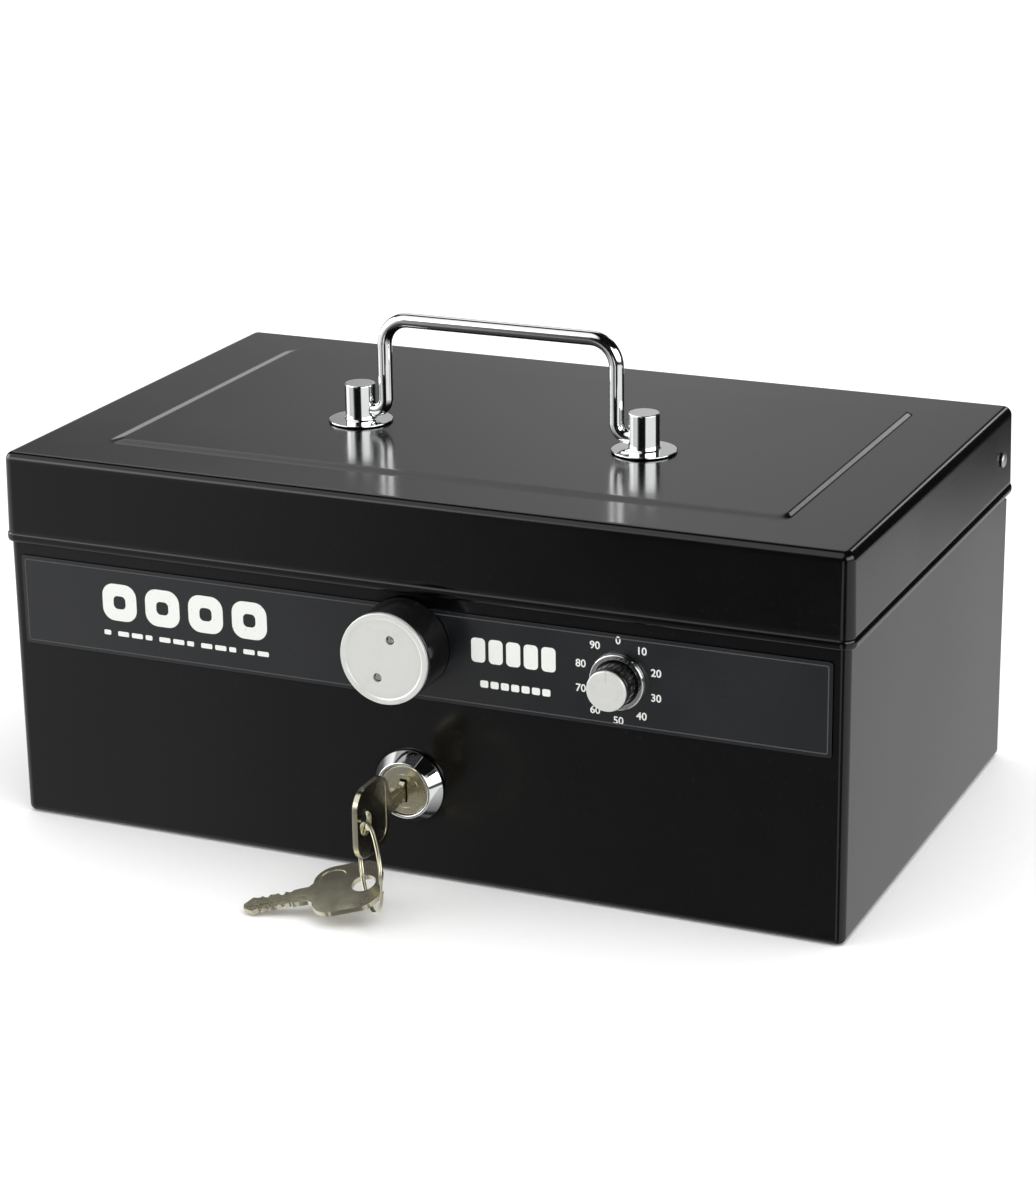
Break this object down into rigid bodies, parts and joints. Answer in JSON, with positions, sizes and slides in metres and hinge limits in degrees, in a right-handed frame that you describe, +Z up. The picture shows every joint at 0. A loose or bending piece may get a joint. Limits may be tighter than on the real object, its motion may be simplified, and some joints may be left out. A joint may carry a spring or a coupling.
{
  "type": "cash box",
  "caption": "Steel cash box with a hinged lid, folding handle, latch knob, combination dial, key lock, keys on a ring and a lift-out coin tray.",
  "frame": {"origin": "centre of the box's flat underside", "axes": "+X to the right seen from the front, +Y to the back where the lid is hinged, +Z up"},
  "size_m": [0.3024, 0.233, 0.1705],
  "materials": {
    "black_paint": "satin black powder coat",
    "label_print": "satin dark blue-grey print",
    "black_plastic": "fine moulded black",
    "satin_metal": "turned satin silver",
    "chrome": "polished chrome plate",
    "nickel": "worn nickel plate",
    "zinc": "zinc plate"
  },
  "bodies": {
    "box": {"box_body": "black_paint", "front_label": "label_print", "hinge_rivet_left": "zinc", "hinge_rivet_right": "zinc", "lock_bezel": "chrome", "lock_nut": "zinc", "dial_skirt": "chrome", "mechanism_cover": "zinc", "cover_stud_left": "zinc", "cover_stud_right": "zinc", "cover_screw_left": "zinc", "cover_screw_right": "zinc", "fence_guide_upper": "zinc", "fence_guide_lower": "zinc", "tray_ledge_left": "black_paint", "tray_ledge_right": "black_paint"},
    "lid": {"lid": "black_paint", "lid_striker": "zinc", "handle_post_left": "chrome", "handle_post_right": "chrome", "post_nut_left": "zinc", "post_nut_right": "zinc"},
    "handle": {"carry_handle": "chrome"},
    "latch": {"latch_knob": "black_plastic", "latch_knob_face": "satin_metal", "knob_screw_upper": "zinc", "knob_screw_lower": "zinc", "latch_spindle": "zinc", "latch_hook": "zinc", "latch_clip": "zinc"},
    "fence": {"fence_bar": "zinc"},
    "dial": {"dial_knob": "black_plastic", "dial_face": "satin_metal", "dial_spindle": "zinc", "dial_wheel": "zinc", "dial_clip": "zinc"},
    "lock": {"lock_plug": "nickel", "lock_cam": "zinc", "cam_screw": "zinc"},
    "key": {"key": "nickel"},
    "ring": {"key_ring": "nickel"},
    "spare": {"spare_key": "nickel"},
    "tray": {"coin_tray": "black_plastic"}
  },
  "joints": [
    {"name": "lid_hinge", "type": "hinge", "parent": "box", "child": "lid", "pos_m": [0, 0.075, 0.114], "axis": [-1, 0, 0], "range_deg": [0, 95]},
    {"name": "handle_swing", "type": "hinge", "parent": "lid", "child": "handle", "pos_m": [0, -0.014, 0.1355], "axis": [1, 0, 0], "range_deg": [-90, 90]},
    {"name": "latch_turn", "type": "hinge", "parent": "box", "child": "latch", "pos_m": [0, -0.09, 0.082], "axis": [0, -1, 0], "range_deg": [0, 45]},
    {"name": "fence_slide", "type": "slide", "parent": "box", "child": "fence", "axis": [-1, 0, 0], "range_m": [0, 0.01]},
    {"name": "dial_turn", "type": "hinge", "parent": "box", "child": "dial", "pos_m": [0.0736, -0.09, 0.079], "axis": [0, -1, 0], "continuous": true},
    {"name": "key_turn", "type": "hinge", "parent": "box", "child": "lock", "pos_m": [0, -0.09, 0.0325], "axis": [0, -1, 0], "range_deg": [0, 90]},
    {"name": "key_withdraw", "type": "slide", "parent": "lock", "child": "key", "axis": [0, -1, 0], "range_m": [0, 0.025]},
    {"name": "ring_follow", "type": "slide", "parent": "box", "child": "ring", "axis": [0, -1, 0], "range_m": [0, 0.025]},
    {"name": "spare_swing", "type": "hinge", "parent": "ring", "child": "spare", "pos_m": [-0.00099, -0.12281, 0.01034], "axis": [-0.4598, 0.5532, 0.6947], "range_deg": [0, 20]},
    {"name": "tray_lift", "type": "slide", "parent": "box", "child": "tray", "axis": [0, 0, 1], "range_m": [0, 0.03]}
  ],
  "couplings": [
    {"joint": "fence_slide", "follows": "latch_turn", "m_per_rad": 0.012668},
    {"joint": "ring_follow", "follows": "key_withdraw", "ratio": 1}
  ]
}
